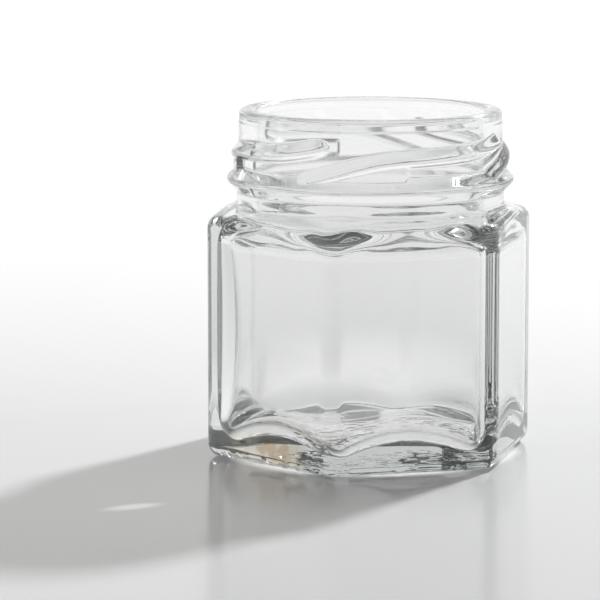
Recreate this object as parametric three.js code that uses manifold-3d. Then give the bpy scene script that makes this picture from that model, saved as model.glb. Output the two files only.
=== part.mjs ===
// A small empty six-sided preserve jar of clear glass, with a twist-off neck and without its lid.
// Millimetres, +Z up, origin at the middle of the base on the plane that the jar stands on.
// Two of the six flats face +Y and -Y, and two of the upright corners lie on the X axis.
import * as THREE from "three";
import Module from "manifold-3d";

const wasm = await Module();
wasm.setup();

const DEGREE = Math.PI / 180;
const SIXTH = 60 * DEGREE;
const QUARTER = 90 * DEGREE;
const COS_HALF_SIXTH = Math.cos(SIXTH / 2);

// Outside of the body: half of the width across the flats, corner and heel rounding.
const FLAT_APOTHEM = 21.9;
const CORNER_RADIUS = 3;
const HEEL_RADIUS = 2;

// Underside: a shallow round hollow inside the flat ring that the jar stands on.
const HOLLOW_RADIUS = 16.5;
const HOLLOW_RISE = 0.8;

// Shoulder: a gentle cone from the recess under the bead out to the flats, with a rounded edge.
const SHOULDER_TOP_Z = 36.95;
const SHOULDER_SLOPE = 0.26;
const SHOULDER_ROUNDING_AT_FLAT = 0.95;
const SHOULDER_ROUNDING_AT_CORNER = 1.5;
const RECESS_RADIUS = 19.9;
const RECESS_FILLET = 0.9;

// Neck: the plain wall, the bead under the threads and the rim on top.
const RIM_Z = 51.2;
const NECK_RADIUS = 19.5;
const BEAD_TIP_RADIUS = 21.6;
const BEAD_TIP_Z = 40.95;
const BEAD_LOW_Z = 39.1;
const BEAD_HIGH_Z = 42.9;
const BEAD_ROUNDING = 0.8;
const BEAD_FILLET = 0.5;
const RIM_ROUNDING = 0.8;

// Inside: the bore, then a throat that slants out to the flats and has a flatter ceiling in the corners.
const BORE_RADIUS = 16.9;
const THROAT_TOP_Z = 38;
const THROAT_LOW_Z = 31;
const CEILING_CENTRE_RADIUS = 14.4;
const CEILING_CENTRE_Z = 24.9;
const CEILING_ROUNDING = 10.5;
const CEILING_BLEND = 1;
const CEILING_CORNER_POWER = 3;

// Inside: the blown body cavity. The glass of its corner towards -X is thicker, most of all half way up.
const WALL_TOP_Z = 30.5;
const INNER_APOTHEM = 19.4;
const INNER_CORNER_RADIUS = 2.5;
const INNER_CORNER_LEAST = 0.5;
const THICK_CORNER_RADIUS = 5;
const THICK_CORNER_SWELL = 5.5;
const THICK_CORNER_Z = 20;
const THICK_CORNER_REACH = 14.5;

// Inside: the heel and the floor, which lies higher along the flats than in the corners.
const FLOOR_Z = 4.2;
const FLOOR_EDGE_AT_FLAT = 4.2;
const FLOOR_EDGE_AT_CORNER = 2.5;
const FLOOR_DIP_POWER = 3;
const INNER_HEEL_AT_FLAT = 4.2;
const INNER_HEEL_AT_CORNER = 3;
const INNER_HEEL_STRETCH = 1.1;

// Threads: four lugs a quarter turn apart. Angles are in degrees from the upright stop of each lug.
const LUG_COUNT = 4;
const LUG_START = -50;
const LUG_END = 55;
const LUG_STEP = 7;
const LUG_HEIGHT = 1.15;
const LUG_UNDER = 0.9;
const LUG_OVER = 1.9;
const LUG_ROOT = 0.8;
const LUG_SINK = 0.2;
const LUG_TIP_SHARE = 0.1;
const LUG_LEVEL_Z = 45.05;
const LUG_LEVEL_SLOPE = 0.012;
const LUG_RAMP_END = -12;
const LUG_RAMP_SLOPE = 0.085;
const LUG_TAIL_START = 36;
const LUG_TAIL_SLOPE = 0.06;
const LUG_BEND = 4;
const LUG_TIP = 6;
const LUG_FACE_POWER = 1.3;
const PAD_RADIUS = 20.3;
const PAD_FOOT_Z = 41;

const GLASS_COLOUR = 0xe6efec;
const GLASS_ROUGHNESS = 0.03;

const ARC_STEPS = 3;
const SMALL_ARC_STEPS = 2;
const SMALL_ARC_RADIUS = 1;
const EDGE_STEPS = 4;
const THROAT_STEPS = 15;
const WALL_STEPS = 5;
const INNER_HEEL_STEPS = 6;
const FLOOR_STEPS = 4;
const SECTION_STEPS = 6;
const COLUMNS_PER_HALF_SIXTH = 7;
const COLUMN_CROWDING = 1.5;
const SIMPLIFY_WITHIN = 0.003;

const { lerp, clamp, euclideanModulo } = THREE.MathUtils;
const steps = (count) => Array.from({ length: count + 1 }, (_, i) => i / count);

// Polar radius of a six-sided outline with rounded corners, one of them at angle zero.
function hexagonRadius(angle, apothem, corner) {
  const fromCorner = Math.abs(euclideanModulo(angle + SIXTH / 2, SIXTH) - SIXTH / 2);
  const centre = (apothem - corner) / COS_HALF_SIXTH;
  const arcEnd = Math.atan2(corner / 2, centre + corner * COS_HALF_SIXTH);
  if (fromCorner > arcEnd) return apothem / Math.cos(SIXTH / 2 - fromCorner);
  return centre * Math.cos(fromCorner) + Math.sqrt(corner ** 2 - (centre * Math.sin(fromCorner)) ** 2);
}

// The smaller of two radii, with the crease between them rounded over the blend width.
function softMin(a, b, blend) {
  const near = Math.max(blend - Math.abs(a - b), 0) / blend;
  return Math.min(a, b) - (near * near * blend) / 4;
}

const softMax = (a, b, blend) => -softMin(-a, -b, blend);

// One at the corners of the six-sided outline, nought at the middle of its flats, as a smooth wave.
const nearCorner = (angle) => (1 + Math.cos(6 * angle)) / 2;

// The same share as an arch over each flat, by how far the outside reaches beyond the flats.
const cornerReach = (angle) => reachBeyondFlats(angle) / reachBeyondFlats(0);
const reachBeyondFlats = (angle) => hexagonRadius(angle, FLAT_APOTHEM, CORNER_RADIUS) - FLAT_APOTHEM;

// A line that stays at zero and then climbs one to one, with a rounded bend.
const softRamp = (x) => LUG_BEND * Math.log(1 + Math.exp(x / LUG_BEND));

// Angles of the columns round the jar, crowded towards the six corners.
function columnAngles() {
  const half = steps(COLUMNS_PER_HALF_SIXTH).map((u) => (SIXTH / 2) * u ** COLUMN_CROWDING);
  const sixth = [...half.slice(0, -1), ...half.slice(1).reverse().map((a) => SIXTH - a)];
  return Array.from({ length: 6 }, (_, k) => sixth.map((a) => a + k * SIXTH)).flat();
}
const COLUMNS = columnAngles();

// One closed ring of points round the jar, from its height at an angle and its radius at both.
const ring = (radiusAt, heightAt) => COLUMNS.map((angle) => {
  const z = heightAt(angle);
  const radius = radiusAt(angle, z);
  return [radius * Math.cos(angle), radius * Math.sin(angle), z];
});
const roundRing = ({ x, y }) => ring(() => x, () => y);

// A path of straight runs through the given corners, each corner rounded by its own radius.
function roundedPath(corners) {
  const points = [corners[0].clone()];
  for (let i = 1; i < corners.length - 1; i++) {
    points.push(...roundedCorner(corners[i - 1], corners[i], corners[i + 1]));
  }
  points.push(corners.at(-1).clone());
  return points;
}

// The arc that rounds one corner of a path, as points in the order of the path.
function roundedCorner(before, corner, after) {
  const toBefore = before.clone().sub(corner).normalize();
  const toAfter = after.clone().sub(corner).normalize();
  const halfAngle = Math.acos(toBefore.dot(toAfter)) / 2;
  const along = corner.rounding / Math.tan(halfAngle);
  const middle = toBefore.clone().add(toAfter).normalize();
  const centre = corner.clone().addScaledVector(middle, corner.rounding / Math.sin(halfAngle));
  const from = corner.clone().addScaledVector(toBefore, along).sub(centre);
  const turn = Math.PI - 2 * halfAngle;
  const sense = Math.sign(toAfter.cross(toBefore));
  return steps(corner.rounding < SMALL_ARC_RADIUS ? SMALL_ARC_STEPS : ARC_STEPS).map((u) =>
    from.clone().rotateAround(new THREE.Vector2(), sense * turn * u).add(centre));
}

function corner(radius, z, rounding = 0) {
  return Object.assign(new THREE.Vector2(radius, z), { rounding });
}

// Underside and heel, from the middle of the hollow out to the foot of the flats.
function baseRings() {
  const hollow = steps(ARC_STEPS).slice(1).map((u) =>
    ring(() => HOLLOW_RADIUS * u, () => HOLLOW_RISE * (1 - u * u)));
  const heel = steps(ARC_STEPS + 1).map((u) => {
    const inset = HEEL_RADIUS * (1 - Math.sin(QUARTER * u));
    const z = HEEL_RADIUS * (1 - Math.cos(QUARTER * u));
    return ring((a) => hexagonRadius(a, FLAT_APOTHEM - inset, CORNER_RADIUS - inset), () => z);
  });
  return [...hollow, ...heel];
}

// Rounded upper edge of the flats and the shoulder, up to the recess under the bead.
function shoulderRings() {
  const edge = steps(EDGE_STEPS).map((u) => ring((a) => edgeRadius(a, u), (a) => edgeZ(a, u)));
  const fillet = roundedPath([
    corner(FLAT_APOTHEM, shoulderZ(FLAT_APOTHEM)),
    corner(RECESS_RADIUS, shoulderZ(RECESS_RADIUS), RECESS_FILLET),
    corner(RECESS_RADIUS, BEAD_LOW_Z),
  ]);
  return [...edge, ...fillet.slice(1, -1).map(roundRing)];
}

const shoulderZ = (radius) => SHOULDER_TOP_Z - SHOULDER_SLOPE * (radius - RECESS_RADIUS);
const edgeRounding = (angle) =>
  lerp(SHOULDER_ROUNDING_AT_FLAT, SHOULDER_ROUNDING_AT_CORNER, nearCorner(angle));

// Radius and height of the rounded edge, from its foot at nought to its top at one.
function edgeRadius(angle, share) {
  const inset = edgeRounding(angle) * (1 - Math.cos(QUARTER * share));
  return hexagonRadius(angle, FLAT_APOTHEM - inset, CORNER_RADIUS - inset);
}
function edgeZ(angle, share) {
  return shoulderZ(edgeRadius(angle, share)) - edgeRounding(angle) * (1 - Math.sin(QUARTER * share));
}

// Bead, neck wall, rim and bore.
function neckRings() {
  const path = roundedPath([
    corner(RECESS_RADIUS, SHOULDER_TOP_Z),
    corner(RECESS_RADIUS, BEAD_LOW_Z, BEAD_FILLET),
    corner(BEAD_TIP_RADIUS, BEAD_TIP_Z, BEAD_ROUNDING),
    corner(NECK_RADIUS, BEAD_HIGH_Z, BEAD_FILLET),
    corner(NECK_RADIUS, RIM_Z, RIM_ROUNDING),
    corner(BORE_RADIUS, RIM_Z, RIM_ROUNDING),
    corner(BORE_RADIUS, THROAT_TOP_Z),
  ]);
  return path.slice(1).map(roundRing);
}

// Throat between the bore and the walls of the cavity.
function throatRings() {
  return steps(THROAT_STEPS).slice(1).map((u) =>
    ring(throatRadius, () => lerp(THROAT_TOP_Z, WALL_TOP_Z, u)));
}

function throatRadius(angle, z) {
  const walls = cavityRadius(angle, z, 0);
  const down = clamp((THROAT_TOP_Z - z) / (THROAT_TOP_Z - THROAT_LOW_Z), 0, 1);
  const slant = lerp(BORE_RADIUS, walls, (1 - Math.cos(Math.PI * down)) / 2);
  return lerp(slant, ceilingRadius(walls, z), nearCorner(angle) ** CEILING_CORNER_POWER);
}

// The turned ceiling of the corners, blended into the walls below and into the bore above.
function ceilingRadius(walls, z) {
  const reach = Math.sqrt(Math.max(CEILING_ROUNDING ** 2 - (z - CEILING_CENTRE_Z) ** 2, 0));
  return softMax(softMin(walls, CEILING_CENTRE_RADIUS + reach, CEILING_BLEND), BORE_RADIUS, CEILING_BLEND);
}

function cavityRadius(angle, z, inset) {
  const thick = Math.abs(angle - Math.PI) < SIXTH / 2;
  const rounding = (thick ? thickCornerRounding(z) : INNER_CORNER_RADIUS) - inset;
  return hexagonRadius(angle, INNER_APOTHEM - inset, Math.max(rounding, INNER_CORNER_LEAST));
}

function thickCornerRounding(z) {
  const swell = Math.max(1 - ((z - THICK_CORNER_Z) / THICK_CORNER_REACH) ** 2, 0);
  return THICK_CORNER_RADIUS + THICK_CORNER_SWELL * swell;
}

const innerHeel = (angle) => lerp(INNER_HEEL_AT_FLAT, INNER_HEEL_AT_CORNER, cornerReach(angle));
const floorEdgeZ = (angle) => lerp(FLOOR_EDGE_AT_FLAT, FLOOR_EDGE_AT_CORNER, cornerReach(angle));
const wallFootZ = (angle) => floorEdgeZ(angle) + innerHeel(angle) * INNER_HEEL_STRETCH;

// Walls of the cavity, the heel at their foot and the floor from its edge inwards.
function cavityRings() {
  const walls = steps(WALL_STEPS).slice(1, -1).map((u) =>
    ring((a, z) => cavityRadius(a, z, 0), (a) => lerp(WALL_TOP_Z, wallFootZ(a), u)));
  const heel = steps(INNER_HEEL_STEPS).map((u) => ring(
    (a, z) => cavityRadius(a, z, innerHeel(a) * (1 - Math.cos(QUARTER * u))),
    (a) => lerp(wallFootZ(a), floorEdgeZ(a), Math.sin(QUARTER * u)),
  ));
  const floor = steps(FLOOR_STEPS).slice(1, -1).reverse().map((u) => ring(
    (a) => cavityRadius(a, floorEdgeZ(a), innerHeel(a)) * u,
    (a) => lerp(FLOOR_Z, floorEdgeZ(a), u ** FLOOR_DIP_POWER),
  ));
  return [...walls, ...heel, ...floor];
}

// A closed solid from rings of equal length: capped by a fan at both ends.
function solidFromRings(rings, firstCap, lastCap) {
  const count = rings[0].length;
  const points = [...rings.flat(), firstCap, lastCap];
  const firstIndex = rings.length * count;
  const triangles = [];
  for (let j = 0; j < count; j++) {
    const next = (j + 1) % count;
    triangles.push(firstIndex, next, j);
    for (let i = 0; i < rings.length - 1; i++) {
      const low = i * count;
      const high = low + count;
      triangles.push(low + j, low + next, high + next, low + j, high + next, high + j);
    }
    const last = (rings.length - 1) * count;
    triangles.push(last + j, last + next, firstIndex + 1);
  }
  return new wasm.Manifold(new wasm.Mesh({
    numProp: 3,
    vertProperties: new Float32Array(points.flat()),
    triVerts: new Uint32Array(triangles),
  }));
}

function jarSolid() {
  const outside = [...baseRings(), ...shoulderRings(), ...neckRings()];
  const rings = [...outside, ...throatRings(), ...cavityRings()];
  return solidFromRings(rings, [0, 0, HOLLOW_RISE], [0, 0, FLOOR_Z]);
}

// Height of the crest of a lug: a steep start out of the bead, a nearly level run, a rising tail.
function lugZ(t) {
  const ramp = LUG_RAMP_SLOPE * softRamp(LUG_RAMP_END - t);
  const tail = LUG_TAIL_SLOPE * softRamp(t - LUG_TAIL_START);
  return LUG_LEVEL_Z + LUG_LEVEL_SLOPE * t - ramp + tail;
}

// Share of its full height that a lug has: one along most of it, with both tips rounded off.
function lugFullness(t) {
  const fromTip = Math.min(t - LUG_START, LUG_END - t, LUG_TIP) / LUG_TIP;
  return Math.sqrt(1 - (1 - fromTip) ** 2);
}

// The section of a lug at one angle, as points in radius and height, from its upper root downwards.
function lugSection(t) {
  const full = lerp(LUG_TIP_SHARE, 1, lugFullness(t));
  const face = steps(SECTION_STEPS).map((u) => {
    const side = 1 - 2 * u;
    const rise = (LUG_HEIGHT * full + LUG_SINK) * (1 - side * side) ** LUG_FACE_POWER;
    const reach = (side < 0 ? LUG_UNDER : LUG_OVER) * full;
    return [NECK_RADIUS - LUG_SINK + rise, lugZ(t) + side * reach];
  });
  const root = NECK_RADIUS - LUG_ROOT;
  return [[root, face[0][1]], ...face, [root, face.at(-1)[1]]];
}

// The section of the pad that fills the space between a lug and the bead, up to the stop.
function padSection(t) {
  const root = NECK_RADIUS - LUG_ROOT;
  const top = lugZ(t);
  return [[root, top], [PAD_RADIUS, top], [PAD_RADIUS, PAD_FOOT_Z], [root, PAD_FOOT_Z]];
}

// A solid swept round the neck from one angle to another through a section that changes on the way.
function neckSweep(sectionAt, start, end, turn) {
  const count = Math.round((end - start) / LUG_STEP);
  const rings = steps(count).map((u) => {
    const t = lerp(start, end, u);
    const a = turn + t * DEGREE;
    return sectionAt(t).map(([r, z]) => [r * Math.cos(a), r * Math.sin(a), z]);
  });
  return solidFromRings(rings, centroid(rings[0]), centroid(rings.at(-1)));
}

const centroid = (points) =>
  [0, 1, 2].map((k) => points.reduce((sum, p) => sum + p[k], 0) / points.length);

function lugSolids() {
  return Array.from({ length: LUG_COUNT }, (_, k) => {
    const turn = (k * 2 * Math.PI) / LUG_COUNT;
    return neckSweep(lugSection, LUG_START, LUG_END, turn).add(neckSweep(padSection, LUG_START, 0, turn));
  });
}

function meshFrom(solid, name) {
  const { vertProperties, triVerts } = solid.getMesh();
  const geometry = new THREE.BufferGeometry();
  geometry.setAttribute("position", new THREE.BufferAttribute(vertProperties, 3));
  geometry.setIndex(new THREE.BufferAttribute(triVerts, 1));
  geometry.computeVertexNormals();
  const look = { name: "glass", color: GLASS_COLOUR, roughness: GLASS_ROUGHNESS };
  const glass = new THREE.MeshStandardMaterial(look);
  const mesh = new THREE.Mesh(geometry, glass);
  mesh.name = name;
  return mesh;
}

const jar = lugSolids().reduce((whole, lug) => whole.add(lug), jarSolid()).simplify(SIMPLIFY_WITHIN);
const object = new THREE.Group();
object.name = "hexagonal_jar";
object.add(meshFrom(jar, "glass_jar"));

export default object;
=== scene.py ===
"""Looks for the empty six-sided glass jar.

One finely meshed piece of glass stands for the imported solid, on a pale floor in a white studio.
"""

import math

import bpy
import numpy as np
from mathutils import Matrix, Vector


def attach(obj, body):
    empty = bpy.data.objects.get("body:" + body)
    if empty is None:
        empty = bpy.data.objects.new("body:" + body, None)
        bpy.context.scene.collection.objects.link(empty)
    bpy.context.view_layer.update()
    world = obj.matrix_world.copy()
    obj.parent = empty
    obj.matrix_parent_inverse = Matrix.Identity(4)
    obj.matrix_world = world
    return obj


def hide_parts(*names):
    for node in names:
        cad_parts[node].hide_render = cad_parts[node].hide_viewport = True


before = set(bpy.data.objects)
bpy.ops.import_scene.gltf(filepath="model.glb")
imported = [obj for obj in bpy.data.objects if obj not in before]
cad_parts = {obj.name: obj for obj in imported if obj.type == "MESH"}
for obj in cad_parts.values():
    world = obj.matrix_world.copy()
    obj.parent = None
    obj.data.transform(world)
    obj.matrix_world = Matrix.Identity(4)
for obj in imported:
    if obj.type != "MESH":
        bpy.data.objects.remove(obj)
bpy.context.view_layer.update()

MM = 0.001
SIXTH = math.pi / 3
QUARTER = math.pi / 2
WHITE = (1, 1, 1, 1)

# Sizes in millimetres and angles in degrees, the same as in the CAD source.
FLAT_APOTHEM = 21.9
CORNER_RADIUS = 3.0
HEEL_RADIUS = 2.0
HOLLOW_RADIUS = 16.5
HOLLOW_RISE = 0.8
SHOULDER_TOP_Z = 36.95
SHOULDER_SLOPE = 0.26
SHOULDER_ROUNDING_AT_FLAT = 0.95
SHOULDER_ROUNDING_AT_CORNER = 1.5
RECESS_RADIUS = 19.9
RECESS_FILLET = 0.9
RECESS_RUN = 0.8
RIM_Z = 51.2
NECK_RADIUS = 19.5
BEAD_TIP_RADIUS = 21.6
BEAD_TIP_Z = 40.95
BEAD_LOW_Z = 39.1
BEAD_HIGH_Z = 42.9
BEAD_ROUNDING = 0.8
BEAD_FILLET = 0.5
RIM_ROUNDING = 0.8
BORE_RADIUS = 16.9
THROAT_TOP_Z = 38.0
THROAT_LOW_Z = 31.0
CEILING_CENTRE_RADIUS = 14.4
CEILING_CENTRE_Z = 24.9
CEILING_ROUNDING = 10.5
CEILING_BLEND = 1.0
CEILING_POWER = 3
WALL_TOP_Z = 30.5
INNER_APOTHEM = 19.4
INNER_CORNER_RADIUS = 2.5
INNER_CORNER_LEAST = 0.5
THICK_CORNER_RADIUS = 5.0
THICK_CORNER_SWELL = 5.5
THICK_CORNER_Z = 20.0
THICK_CORNER_REACH = 14.5
FLOOR_Z = 4.2
FLOOR_EDGE_AT_FLAT = 4.2
FLOOR_EDGE_AT_CORNER = 2.5
FLOOR_DIP_POWER = 3
INNER_HEEL_AT_FLAT = 4.2
INNER_HEEL_AT_CORNER = 3.0
INNER_HEEL_STRETCH = 1.1
LUG_COUNT = 4
LUG_START = -50.0
LUG_END = 55.0
LUG_HEIGHT = 1.15
LUG_UNDER = 0.9
LUG_OVER = 1.9
LUG_LEAST_REACH = 0.05
LUG_LEVEL_Z = 45.05
LUG_LEVEL_SLOPE = 0.012
LUG_RAMP_END = -12.0
LUG_RAMP_SLOPE = 0.085
LUG_TAIL_START = 36.0
LUG_TAIL_SLOPE = 0.06
LUG_BEND = 4.0
LUG_TIP = 6.0
LUG_FACE_POWER = 1.3
LUG_ROOT_RADIUS = NECK_RADIUS - 1.0
LUG_BLEND = 0.25
LUGS_TOP_Z = 49.5
PAD_RADIUS = 20.3
PAD_STOP_WIDTH = 1.0
PAD_TOP_WIDTH = 0.6
PAD_BLEND = 0.3

# The mesh: columns round the jar, spacings of its rows in millimetres, and steps of each stretch.
COLUMNS = 324
THREAD_ROW = 0.13
THREAD_ROWS_TOP_Z = 48.8
NECK_ROW = 0.6
WALL_ROW = 1.5
RECESS_ARC_STEP = 0.12
NECK_ARC_STEP = 0.16
RIM_ARC_STEP = 0.25
HOLLOW_STEPS = 10
HEEL_STEPS = 10
SIDE_STEPS = 21
EDGE_STEPS = 12
SHOULDER_STEPS = 7
THROAT_STEPS = 55
CAVITY_STEPS = 15
INNER_HEEL_STEPS = 18
FLOOR_STEPS = 13

# The glass. Between these two heights in millimetres the neck turns softer than the body, and lighter
# in colour: painted light on the neck, painted shade on the body.
GLASS_IOR = 1.52
GLASS_TINT = (0.8, 0.815, 0.81, 1)
GLASS_TINT_DENSITY = 60
NECK_ROUGHNESS = 0.055
NECK_LIT_COLOUR = (0.965, 0.965, 0.965, 1)
BODY_SHADED_COLOUR = (0.9, 0.9, 0.9, 1)
NECK_SOFT_FROM_Z = 40.0
NECK_SOFT_FULL_Z = 43.0

# Relief of its surface, in millimetres: slow waves, and a stipple under the half towards -Y alone.
WAVE_SCALE = 90
WAVE_DETAIL = 1
WAVE_HEIGHT = 0.012
STIPPLE_SCALE = 560
STIPPLE_DOT = 0.6
STIPPLE_HEIGHT = 0.14
STIPPLE_FULL_Z = 0.7
STIPPLE_END_Z = 1.6
STIPPLE_FULL_Y = -4
STIPPLE_END_Y = 4

# Painted glints: warm specks of painted light at the foot of one flat, in metres.
WARM_GLINT_CENTRE = (-0.0187, -0.0108, 0.0026)
WARM_GLINT_SCALING = (1, 1, 0.26)
WARM_GLINT_RANGE = (0.0065, 0.011)
WARM_GLINT_SPECK_SCALE = 300
WARM_GLINT_SPECK_RANGE = (0.36, 0.6)
WARM_GLINT_LIGHT = (0.98, 0.9, 0.76, 1)
WARM_GLINT_DARK = (0.56, 0.36, 0.19, 1)

# The floor, in metres, which fades to white far off.
FLOOR_HALF_SIDE = 4.0
FLOOR_DROP = 0.00002
FLOOR_COLOUR = (0.58, 0.57, 0.555, 1)
FLOOR_ROUGHNESS = 0.18
HAZE_CENTRE = (-0.015, -0.06, 0)
HAZE_FROM = 0.1
HAZE_FULL = 0.42
HAZE_STRENGTH = 1.05

# Painted light that the floor gives off, standing in for light through the glass: a pool under the jar,
# a streak in its shadow, and a patch behind it, in metres.
PAINTED_POOL_CENTRE = (0, 0, 0)
PAINTED_POOL_RANGE = (0.0185, 0.0235)
PAINTED_POOL_STRENGTH = 0.7
PAINTED_STREAK_CENTRE = (-0.0435, -0.0324, 0)
PAINTED_STREAK_SCALING = (1, 0.4, 1)
PAINTED_STREAK_TURN = 0.25
PAINTED_STREAK_RANGE = (0.0015, 0.006)
PAINTED_STREAK_STRENGTH = 0.18
PAINTED_BACK_POOL_CENTRE = (0.0155, 0.053, 0)
PAINTED_BACK_POOL_SCALING = (0.4, 1, 1)
PAINTED_BACK_POOL_TURN = -0.285
PAINTED_BACK_POOL_RANGE = (0.02, 0.075)
PAINTED_BACK_POOL_STRENGTH = 0.24

# The camera, in millimetres and radians.
CAMERA_AZIMUTH = math.radians(-106.34)
CAMERA_PITCH = math.radians(8.57)
CAMERA_YAW = math.radians(1.149)
CAMERA_REACH = 520.0
CAMERA_HEIGHT = 100.79
CAMERA_LENS = 211.43
CAMERA_SENSOR = 36
CAMERA_CLIP = (0.01, 20)

# The studio: white, darker overhead and in an opening on one side.
STUDIO_STRENGTH = 1.05
OVERHEAD_RANGE = (0.45, 0.75)
OVERHEAD_DIMMING = 0.9
OPENING_AZIMUTH = CAMERA_AZIMUTH
OPENING_ELEVATION = math.radians(15)
OPENING_RANGE = (0.6, 0.92)
OPENING_DIMMING = 0.7

# The lamp, in metres and watts.
KEY_AZIMUTH = math.radians(40)
KEY_ELEVATION = math.radians(36)
KEY_DISTANCE = 0.9
KEY_DIAMETER = 0.09
KEY_POWER = 11.5
KEY_COLOUR = (0.93, 0.965, 1.0)

MAX_BOUNCES = 40
TRANSMISSION_BOUNCES = 32
GLOSSY_BOUNCES = 16

ANGLES = np.arange(COLUMNS) * 2 * math.pi / COLUMNS


def steps(count):
    """Shares of the way along a stretch, from nought to one."""
    return np.linspace(0, 1, count + 1)


def round_row(radius, z):
    """A row of the mesh with the same radius and height at every column."""
    return np.full(COLUMNS, radius), z


def hexagon_radius(apothem, corner):
    """Polar radius, at every column, of a six-sided outline with rounded corners, one at angle zero."""
    from_corner = np.abs((ANGLES + SIXTH / 2) % SIXTH - SIXTH / 2)
    centre = (apothem - corner) / math.cos(SIXTH / 2)
    arc_end = np.arctan2(corner / 2, centre + corner * math.cos(SIXTH / 2))
    inside = np.maximum(corner**2 - (centre * np.sin(from_corner)) ** 2, 0)
    rounded = centre * np.cos(from_corner) + np.sqrt(inside)
    return np.where(from_corner > arc_end, apothem / np.cos(SIXTH / 2 - from_corner), rounded)


def soft_min(a, b, blend):
    """The smaller of two values, rounded off where they are within the blend of each other."""
    near = np.maximum(blend - np.abs(a - b), 0) / blend
    return np.minimum(a, b) - near * near * blend / 4


def soft_max(a, b, blend):
    return -soft_min(-a, -b, blend)


def soft_ramp(x):
    """Nought below zero and x above it, with a rounded bend between."""
    return LUG_BEND * np.logaddexp(0, x / LUG_BEND)


def smooth_step(x):
    x = np.clip(x, 0, 1)
    return x * x * (3 - 2 * x)


def rounded_path(corners, arc_step):
    """Points along straight runs, through corners (radius, z, rounding) that are rounded."""
    points = [np.array(corners[0][:2], float)]
    for before, corner, after in zip(corners, corners[1:], corners[2:]):
        p = np.array(corner[:2], float)
        rounding = corner[2]
        back = np.array(before[:2], float) - p
        ahead = np.array(after[:2], float) - p
        back /= np.linalg.norm(back)
        ahead /= np.linalg.norm(ahead)
        half = math.acos(np.clip(back @ ahead, -1, 1)) / 2
        middle = (back + ahead) / np.linalg.norm(back + ahead)
        centre = p + middle * rounding / math.sin(half)
        x, z = p + back * rounding / math.tan(half) - centre
        turn = math.pi - 2 * half
        sense = math.copysign(1, ahead[0] * back[1] - ahead[1] * back[0])
        count = max(3, math.ceil(rounding * turn / arc_step))
        for u in np.linspace(0, sense * turn, count + 1):
            c, s = math.cos(u), math.sin(u)
            points.append(centre + np.array([c * x - s * z, s * x + c * z]))
    points.append(np.array(corners[-1][:2], float))
    return points


def subdivided(points, spacing):
    """The same path with points added so that no run is longer than the spacing at its middle."""
    made = [points[0]]
    for a, b in zip(points, points[1:]):
        count = max(1, math.ceil(np.linalg.norm(b - a) / spacing((a + b) / 2)))
        made += [a + (b - a) * i / count for i in range(1, count + 1)]
    return made


def near_corner():
    """One at the corners of the six-sided outline, nought at the middle of its flats."""
    return (1 + np.cos(6 * ANGLES)) / 2


def shoulder_z(radius):
    return SHOULDER_TOP_Z - SHOULDER_SLOPE * (radius - RECESS_RADIUS)


def lug_crest(t):
    """Height of a lug's ridge at an angle along it: a ramp up, a nearly level run and a tail."""
    level = LUG_LEVEL_Z + LUG_LEVEL_SLOPE * t
    ramp = LUG_RAMP_SLOPE * soft_ramp(LUG_RAMP_END - t)
    return level - ramp + LUG_TAIL_SLOPE * soft_ramp(t - LUG_TAIL_START)


def lug_radius(z):
    """Radius of the lugs and of the pads under them at one height, at every column."""
    radius = np.full(COLUMNS, LUG_ROOT_RADIUS)
    for k in range(LUG_COUNT):
        t = (np.degrees(ANGLES) - k * 360 / LUG_COUNT + 180) % 360 - 180
        crest = lug_crest(t)
        from_tip = np.clip(np.minimum(t - LUG_START, LUG_END - t) / LUG_TIP, 0, 1)
        full = np.sqrt(1 - (1 - from_tip) ** 2)
        reach = np.where(z < crest, LUG_UNDER, LUG_OVER) * np.maximum(full, LUG_LEAST_REACH)
        side = np.clip(np.abs(z - crest) / reach, 0, 1)
        ridge = NECK_RADIUS + LUG_HEIGHT * full * (1 - side**2) ** LUG_FACE_POWER
        radius = np.maximum(radius, np.where(full > 0, ridge, 0))
        along = smooth_step((t - LUG_START) / LUG_TIP) * smooth_step(0.5 - t / PAD_STOP_WIDTH)
        below = smooth_step((crest - z) / PAD_TOP_WIDTH + 0.5)
        pad = LUG_ROOT_RADIUS + (PAD_RADIUS - LUG_ROOT_RADIUS) * along * below
        radius = soft_max(radius, pad, PAD_BLEND)
    return radius


def base_rows():
    """The shallow hollow of the underside, then the rounded heel outside."""
    rows = [round_row(HOLLOW_RADIUS * u, HOLLOW_RISE * (1 - u * u)) for u in steps(HOLLOW_STEPS)[1:]]
    for u in steps(HEEL_STEPS):
        inset = HEEL_RADIUS * (1 - math.sin(QUARTER * u))
        radius = hexagon_radius(FLAT_APOTHEM - inset, CORNER_RADIUS - inset)
        rows.append((radius, HEEL_RADIUS * (1 - math.cos(QUARTER * u))))
    return rows


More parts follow.
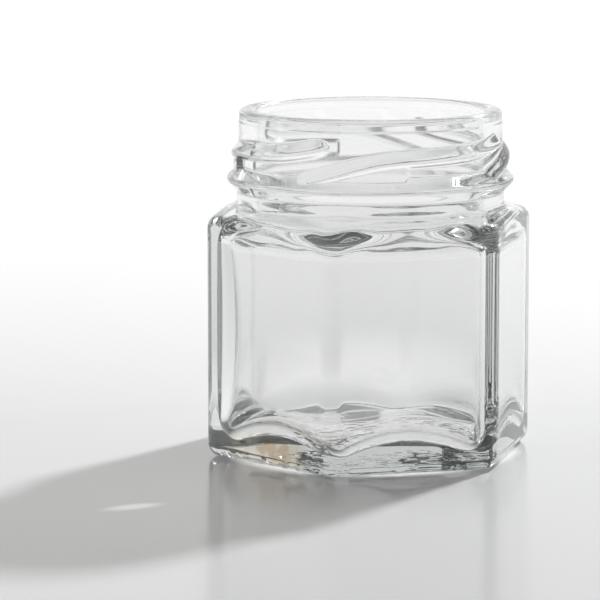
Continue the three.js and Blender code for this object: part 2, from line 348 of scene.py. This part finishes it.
def body_rows():
    """Flat sides, the rounded edge above them and the sloping shoulder up to the neck."""
    flats = hexagon_radius(FLAT_APOTHEM, CORNER_RADIUS)
    swell = SHOULDER_ROUNDING_AT_CORNER - SHOULDER_ROUNDING_AT_FLAT
    rounding = SHOULDER_ROUNDING_AT_FLAT + swell * near_corner()
    top = shoulder_z(flats) - rounding
    rows = [(flats, HEEL_RADIUS + (top - HEEL_RADIUS) * u) for u in steps(SIDE_STEPS)[1:-1]]
    for u in steps(EDGE_STEPS):
        inset = rounding * (1 - math.cos(QUARTER * u))
        radius = hexagon_radius(FLAT_APOTHEM - inset, CORNER_RADIUS - inset)
        rows.append((radius, shoulder_z(radius) - rounding * (1 - math.sin(QUARTER * u))))
    edge = rows[-1][0]
    fillet = rounded_path([
        (FLAT_APOTHEM, shoulder_z(FLAT_APOTHEM)),
        (RECESS_RADIUS, shoulder_z(RECESS_RADIUS), RECESS_FILLET),
        (RECESS_RADIUS, BEAD_LOW_Z),
    ], RECESS_ARC_STEP)[1:-1]
    for u in steps(SHOULDER_STEPS)[1:-1]:
        radius = edge + (fillet[0][0] - edge) * u
        rows.append((radius, shoulder_z(radius)))
    return rows + [round_row(x, z) for x, z in fillet]


def neck_row_spacing(point):
    return THREAD_ROW if BEAD_TIP_Z < point[1] < THREAD_ROWS_TOP_Z else NECK_ROW


def neck_rows():
    """Recess, bead, lugs and rim outside, then the bore and the throat that widens to the walls."""
    rim_middle = ((NECK_RADIUS + BORE_RADIUS) / 2, RIM_Z)
    outside = rounded_path([
        (RECESS_RADIUS, BEAD_LOW_Z - RECESS_RUN),
        (RECESS_RADIUS, BEAD_LOW_Z, BEAD_FILLET),
        (BEAD_TIP_RADIUS, BEAD_TIP_Z, BEAD_ROUNDING),
        (NECK_RADIUS, BEAD_HIGH_Z, BEAD_FILLET),
        (NECK_RADIUS, RIM_Z, RIM_ROUNDING),
        rim_middle,
    ], NECK_ARC_STEP)
    inside = rounded_path([
        rim_middle,
        (BORE_RADIUS, RIM_Z, RIM_ROUNDING),
        (BORE_RADIUS, THROAT_TOP_Z),
    ], RIM_ARC_STEP)
    rows = []
    for x, z in subdivided(outside, neck_row_spacing):
        radius, z = round_row(x, z)
        if BEAD_TIP_Z < z < LUGS_TOP_Z:
            radius = soft_max(radius, lug_radius(z), LUG_BLEND)
        rows.append((radius, z))
    rows += [round_row(x, z) for x, z in subdivided(inside[1:], lambda point: WALL_ROW)]
    throat = np.linspace(THROAT_TOP_Z, WALL_TOP_Z, THROAT_STEPS + 1)[1:]
    return rows + [(throat_radius(z), z) for z in throat]


def throat_radius(z):
    """Between bore and walls: a slanting throat at the flats, and a flatter ceiling in the corners."""
    walls = cavity_radius(z)
    u = np.clip((THROAT_TOP_Z - z) / (THROAT_TOP_Z - THROAT_LOW_Z), 0, 1)
    slant = BORE_RADIUS + (walls - BORE_RADIUS) * (1 - np.cos(math.pi * u)) / 2
    reach = math.sqrt(max(CEILING_ROUNDING**2 - (z - CEILING_CENTRE_Z) ** 2, 0))
    ceiling = soft_min(walls, CEILING_CENTRE_RADIUS + reach, CEILING_BLEND)
    ceiling = soft_max(ceiling, np.full(COLUMNS, BORE_RADIUS), CEILING_BLEND)
    return slant + (ceiling - slant) * near_corner() ** CEILING_POWER


def cavity_radius(z, inset=0.0):
    """The cavity's outline. The corner towards -X is rounder, most of all half way up."""
    swell = np.maximum(1 - ((z - THICK_CORNER_Z) / THICK_CORNER_REACH) ** 2, 0)
    thick = np.abs(ANGLES - math.pi) < SIXTH / 2
    corner = np.where(thick, THICK_CORNER_RADIUS + THICK_CORNER_SWELL * swell, INNER_CORNER_RADIUS)
    return hexagon_radius(INNER_APOTHEM - inset, np.maximum(corner - inset, INNER_CORNER_LEAST))


def floor_rows():
    """Cavity walls, the heel inside and the cavity's floor, which dips towards the corners."""
    flats = hexagon_radius(FLAT_APOTHEM, CORNER_RADIUS)
    corner = (flats - FLAT_APOTHEM) / (flats.max() - FLAT_APOTHEM)
    heel = INNER_HEEL_AT_FLAT + (INNER_HEEL_AT_CORNER - INNER_HEEL_AT_FLAT) * corner
    edge = FLOOR_EDGE_AT_FLAT + (FLOOR_EDGE_AT_CORNER - FLOOR_EDGE_AT_FLAT) * corner
    low = edge + heel * INNER_HEEL_STRETCH
    rows = []
    for u in steps(CAVITY_STEPS)[1:-1]:
        z = WALL_TOP_Z + (low - WALL_TOP_Z) * u
        rows.append((cavity_radius(z), z))
    for u in steps(INNER_HEEL_STEPS):
        z = low + (edge - low) * math.sin(QUARTER * u)
        rows.append((cavity_radius(z, heel * (1 - math.cos(QUARTER * u))), z))
    rim = rows[-1][0]
    for u in np.linspace(1, 0, FLOOR_STEPS + 1)[1:-1]:
        rows.append((rim * u, FLOOR_Z + (edge - FLOOR_Z) * u**FLOOR_DIP_POWER))
    return rows


def jar_points(rows):
    """The rings of points, row by row, then the middle of the underside and of the cavity's floor."""
    points = []
    for radius, z in rows:
        ring = np.empty((COLUMNS, 3))
        ring[:, 0] = radius * np.cos(ANGLES)
        ring[:, 1] = radius * np.sin(ANGLES)
        ring[:, 2] = z
        points.append(ring)
    return np.concatenate([*points, [[0, 0, HOLLOW_RISE]], [[0, 0, FLOOR_Z]]]) * MM


def jar_faces(count):
    """Quads between neighbouring rings, and a fan of triangles at either end."""
    column = np.arange(COLUMNS)
    after = (column + 1) % COLUMNS
    faces = []
    for i in range(count - 1):
        low, high = i * COLUMNS, (i + 1) * COLUMNS
        faces += np.stack([low + column, low + after, high + after, high + column], 1).tolist()
    first, last = count * COLUMNS, count * COLUMNS + 1
    faces += [[first, int(b), int(a)] for a, b in zip(column, after)]
    low = (count - 1) * COLUMNS
    return faces + [[low + int(a), low + int(b), last] for a, b in zip(column, after)]


def jar_mesh():
    rows = [*base_rows(), *body_rows(), *neck_rows(), *floor_rows()]
    mesh = bpy.data.meshes.new("jar_glass")
    mesh.from_pydata(jar_points(rows).tolist(), [], jar_faces(len(rows)))
    mesh.polygons.foreach_set("use_smooth", [True] * len(mesh.polygons))
    mesh.update()
    return mesh


def math_node(nodes, links, operation, *values):
    """A maths node whose inputs are numbers or sockets."""
    node = nodes.new("ShaderNodeMath")
    node.operation = operation
    for socket, value in zip(node.inputs, values):
        if isinstance(value, (int, float)):
            socket.default_value = value
        else:
            links.new(value, socket)
    return node.outputs["Value"]


def falling(nodes, links, value, near, far):
    """One below the near value, nought above the far one, smooth between them."""
    ramp = nodes.new("ShaderNodeMapRange")
    ramp.interpolation_type = "SMOOTHSTEP"
    ramp.inputs["From Min"].default_value = near
    ramp.inputs["From Max"].default_value = far
    ramp.inputs["To Min"].default_value = 1
    ramp.inputs["To Max"].default_value = 0
    links.new(value, ramp.inputs["Value"])
    return ramp.outputs["Result"]


def rising(nodes, links, value, near, far):
    """Nought below the near value, one above the far one, smooth between them."""
    return math_node(nodes, links, "SUBTRACT", 1, falling(nodes, links, value, near, far))


def distance_from(nodes, links, vector, centre, scaling=(1, 1, 1), turn=0.0):
    """Distance from a place. It grows more slowly along the axes with a larger scaling."""
    mapping = nodes.new("ShaderNodeMapping")
    mapping.vector_type = "TEXTURE"
    mapping.inputs["Location"].default_value = centre
    mapping.inputs["Rotation"].default_value = (0, 0, turn)
    mapping.inputs["Scale"].default_value = scaling
    length = nodes.new("ShaderNodeVectorMath")
    length.operation = "LENGTH"
    links.new(vector, mapping.inputs["Vector"])
    links.new(mapping.outputs["Vector"], length.inputs[0])
    return length.outputs["Value"]


def colour_mix(nodes, links, factor, start, end):
    """From the start colour to the end colour as the factor rises; each is a colour or a socket."""
    mix = nodes.new("ShaderNodeMix")
    mix.data_type = "RGBA"
    links.new(factor, mix.inputs["Factor"])
    for socket, value in ((mix.inputs["A"], start), (mix.inputs["B"], end)):
        if isinstance(value, tuple):
            socket.default_value = value
        else:
            links.new(value, socket)
    return mix.outputs["Result"]


def pattern(nodes, links, kind, place, scale):
    """A procedural texture of one kind, in the object's own coordinates."""
    node = nodes.new(kind)
    node.inputs["Scale"].default_value = scale
    links.new(place, node.inputs["Vector"])
    return node


def glass_colour(nodes, links, place, body):
    """Painted lighter at the neck and darker on the body, with painted warm glints at the foot of one
    flat.
    """
    # Painted light and shade: the glass's colour is lighter at the neck and darker on the body.
    lit_and_shaded_tone = colour_mix(nodes, links, body, NECK_LIT_COLOUR, BODY_SHADED_COLOUR)
    # Painted glints: warm specks of light painted into the glass's colour at the foot of one flat.
    glint_noise = pattern(nodes, links, "ShaderNodeTexNoise", place, WARM_GLINT_SPECK_SCALE).outputs["Fac"]
    glint_mask = falling(nodes, links, glint_noise, *WARM_GLINT_SPECK_RANGE)
    painted_glints = colour_mix(nodes, links, glint_mask, WARM_GLINT_LIGHT, WARM_GLINT_DARK)
    distance = distance_from(nodes, links, place, WARM_GLINT_CENTRE, WARM_GLINT_SCALING)
    glint_patch = falling(nodes, links, distance, *WARM_GLINT_RANGE)
    return colour_mix(nodes, links, glint_patch, lit_and_shaded_tone, painted_glints)


def glass_relief(nodes, links, place, split):
    """Slow waves all over, and a stipple on the half of the underside towards -Y."""
    wave = pattern(nodes, links, "ShaderNodeTexNoise", place, WAVE_SCALE)
    wave.inputs["Detail"].default_value = WAVE_DETAIL
    waves = math_node(nodes, links, "MULTIPLY", wave.outputs["Fac"], WAVE_HEIGHT * MM)
    dots = pattern(nodes, links, "ShaderNodeTexVoronoi", place, STIPPLE_SCALE).outputs["Distance"]
    dot = falling(nodes, links, dots, 0, STIPPLE_DOT)
    under = falling(nodes, links, split.outputs["Z"], STIPPLE_FULL_Z * MM, STIPPLE_END_Z * MM)
    half = falling(nodes, links, split.outputs["Y"], STIPPLE_FULL_Y * MM, STIPPLE_END_Y * MM)
    stipple = math_node(nodes, links, "MULTIPLY", dot, math_node(nodes, links, "MULTIPLY", under, half))
    bump = nodes.new("ShaderNodeBump")
    bump.inputs["Strength"].default_value = 1
    bump.inputs["Distance"].default_value = 1
    height = math_node(nodes, links, "MULTIPLY_ADD", stipple, STIPPLE_HEIGHT * MM, waves)
    links.new(height, bump.inputs["Height"])
    return bump.outputs["Normal"]


def glass_material():
    material = bpy.data.materials.new("clear_glass")
    material.use_nodes = True
    nodes, links = material.node_tree.nodes, material.node_tree.links
    shader = nodes["Principled BSDF"]
    shader.inputs["IOR"].default_value = GLASS_IOR
    shader.inputs["Transmission Weight"].default_value = 1.0
    place = nodes.new("ShaderNodeTexCoord").outputs["Object"]
    split = nodes.new("ShaderNodeSeparateXYZ")
    links.new(place, split.inputs["Vector"])
    body = falling(nodes, links, split.outputs["Z"], NECK_SOFT_FROM_Z * MM, NECK_SOFT_FULL_Z * MM)
    roughness = math_node(nodes, links, "MULTIPLY_ADD", body, -NECK_ROUGHNESS, NECK_ROUGHNESS)
    links.new(roughness, shader.inputs["Roughness"])
    links.new(glass_colour(nodes, links, place, body), shader.inputs["Base Color"])
    links.new(glass_relief(nodes, links, place, split), shader.inputs["Normal"])
    tint = nodes.new("ShaderNodeVolumeAbsorption")
    tint.inputs["Color"].default_value = GLASS_TINT
    tint.inputs["Density"].default_value = GLASS_TINT_DENSITY
    links.new(tint.outputs["Volume"], nodes["Material Output"].inputs["Volume"])
    return material


def painted_floor_light(nodes, links, place):
    """Strength of the painted light that the floor gives off: a streak in the shadow, the pool under
    the jar, and a patch behind it.
    """
    # Painted light: a bright streak in the jar's shadow, standing in for light focused through the
    # glass.
    distance = distance_from(nodes, links, place, PAINTED_STREAK_CENTRE, PAINTED_STREAK_SCALING, PAINTED_STREAK_TURN)
    streak = falling(nodes, links, distance, *PAINTED_STREAK_RANGE)
    glow = math_node(nodes, links, "MULTIPLY", streak, PAINTED_STREAK_STRENGTH)
    # Painted light: a pool of light under the jar, standing in for light through the glass.
    pool = falling(nodes, links, distance_from(nodes, links, place, PAINTED_POOL_CENTRE), *PAINTED_POOL_RANGE)
    glow = math_node(nodes, links, "MULTIPLY_ADD", pool, PAINTED_POOL_STRENGTH, glow)
    # Painted light: a bright patch on the floor behind the jar.
    distance = distance_from(nodes, links, place, PAINTED_BACK_POOL_CENTRE, PAINTED_BACK_POOL_SCALING, PAINTED_BACK_POOL_TURN)
    behind = falling(nodes, links, distance, *PAINTED_BACK_POOL_RANGE)
    return math_node(nodes, links, "MULTIPLY_ADD", behind, PAINTED_BACK_POOL_STRENGTH, glow)


def floor_material():
    """A pale, slightly glossy floor that fades to white far off, with painted light glowing under and
    around the jar.
    """
    material = bpy.data.materials.new("pale_floor")
    material.use_nodes = True
    nodes, links = material.node_tree.nodes, material.node_tree.links
    shader = nodes["Principled BSDF"]
    shader.inputs["Base Color"].default_value = FLOOR_COLOUR
    shader.inputs["Roughness"].default_value = FLOOR_ROUGHNESS
    place = nodes.new("ShaderNodeTexCoord").outputs["Object"]
    shader.inputs["Emission Color"].default_value = WHITE
    # The floor glows with painted light, standing in for light through the glass.
    links.new(painted_floor_light(nodes, links, place), shader.inputs["Emission Strength"])
    haze = nodes.new("ShaderNodeMapRange")
    haze.inputs["From Min"].default_value = HAZE_FROM
    haze.inputs["From Max"].default_value = HAZE_FULL
    links.new(distance_from(nodes, links, place, HAZE_CENTRE), haze.inputs["Value"])
    white = nodes.new("ShaderNodeEmission")
    white.inputs["Strength"].default_value = HAZE_STRENGTH
    mix = nodes.new("ShaderNodeMixShader")
    links.new(haze.outputs["Result"], mix.inputs["Fac"])
    links.new(shader.outputs["BSDF"], mix.inputs[1])
    links.new(white.outputs["Emission"], mix.inputs[2])
    links.new(mix.outputs["Shader"], nodes["Material Output"].inputs["Surface"])
    return material


def make_floor():
    side = FLOOR_HALF_SIDE
    mesh = bpy.data.meshes.new("floor")
    corners = [(-side, -side, 0), (side, -side, 0), (side, side, 0), (-side, side, 0)]
    mesh.from_pydata(corners, [], [(0, 1, 2, 3)])
    floor = bpy.data.objects.new("floor", mesh)
    bpy.context.scene.collection.objects.link(floor)
    floor.location.z = -FLOOR_DROP
    mesh.materials.append(floor_material())


def direction(azimuth, elevation):
    """A direction of length one, from the jar."""
    return Vector((
        math.cos(azimuth) * math.cos(elevation),
        math.sin(azimuth) * math.cos(elevation),
        math.sin(elevation),
    ))


def make_world():
    """White all round, darker overhead, with a darker opening on one side."""
    world = bpy.data.worlds.new("studio")
    bpy.context.scene.world = world
    world.use_nodes = True
    nodes, links = world.node_tree.nodes, world.node_tree.links
    place = nodes.new("ShaderNodeTexCoord").outputs["Generated"]
    split = nodes.new("ShaderNodeSeparateXYZ")
    links.new(place, split.inputs["Vector"])
    overhead = rising(nodes, links, split.outputs["Z"], *OVERHEAD_RANGE)
    towards = nodes.new("ShaderNodeVectorMath")
    towards.operation = "DOT_PRODUCT"
    towards.inputs[1].default_value = direction(OPENING_AZIMUTH, OPENING_ELEVATION)
    links.new(place, towards.inputs[0])
    opening = rising(nodes, links, towards.outputs["Value"], *OPENING_RANGE)
    light = math_node(nodes, links, "MULTIPLY_ADD", overhead, -OVERHEAD_DIMMING, STUDIO_STRENGTH)
    dimmed = math_node(nodes, links, "MULTIPLY_ADD", opening, -OPENING_DIMMING, 1)
    light = math_node(nodes, links, "MULTIPLY", light, dimmed)
    nodes["Background"].inputs["Color"].default_value = WHITE
    links.new(light, nodes["Background"].inputs["Strength"])


def make_key_light():
    """A soft lamp behind the jar on its right, as seen from the camera."""
    lamp = bpy.data.lights.new("key", "AREA")
    lamp.shape = "DISK"
    lamp.size = KEY_DIAMETER
    lamp.energy = KEY_POWER
    lamp.color = KEY_COLOUR
    light = bpy.data.objects.new("key", lamp)
    bpy.context.scene.collection.objects.link(light)
    towards = direction(KEY_AZIMUTH, KEY_ELEVATION)
    light.location = towards * KEY_DISTANCE
    light.rotation_mode = "QUATERNION"
    light.rotation_quaternion = towards.to_track_quat("Z", "Y")


def make_camera():
    """The photograph's viewpoint: a long lens a little above the rim, left of the flat's normal."""
    towards = direction(CAMERA_AZIMUTH, 0)
    right = Vector((-math.sin(CAMERA_AZIMUTH), math.cos(CAMERA_AZIMUTH), 0))
    level = -towards * math.cos(CAMERA_YAW) - right * math.sin(CAMERA_YAW)
    ahead = level * math.cos(CAMERA_PITCH) - Vector((0, 0, math.sin(CAMERA_PITCH)))
    data = bpy.data.cameras.new("camera")
    data.lens = CAMERA_LENS
    data.sensor_width = CAMERA_SENSOR
    data.clip_start, data.clip_end = CAMERA_CLIP
    camera = bpy.data.objects.new("camera", data)
    bpy.context.scene.collection.objects.link(camera)
    camera.location = (towards * CAMERA_REACH + Vector((0, 0, CAMERA_HEIGHT))) * MM
    camera.rotation_mode = "QUATERNION"
    camera.rotation_quaternion = ahead.to_track_quat("-Z", "Y")
    bpy.context.scene.camera = camera


def set_look():
    """Plain colours, and enough bounces for light to get through both walls and the thick corners."""
    scene = bpy.context.scene
    scene.view_settings.view_transform = "Standard"
    scene.cycles.max_bounces = MAX_BOUNCES
    scene.cycles.transmission_bounces = TRANSMISSION_BOUNCES
    scene.cycles.glossy_bounces = GLOSSY_BOUNCES


glass = bpy.data.objects.new("jar_glass", jar_mesh())
bpy.context.scene.collection.objects.link(glass)
glass.data.materials.append(glass_material())
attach(glass, "root")
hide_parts("glass_jar")
make_floor()
make_world()
make_key_light()
make_camera()
set_look()

bpy.context.view_layer.update()
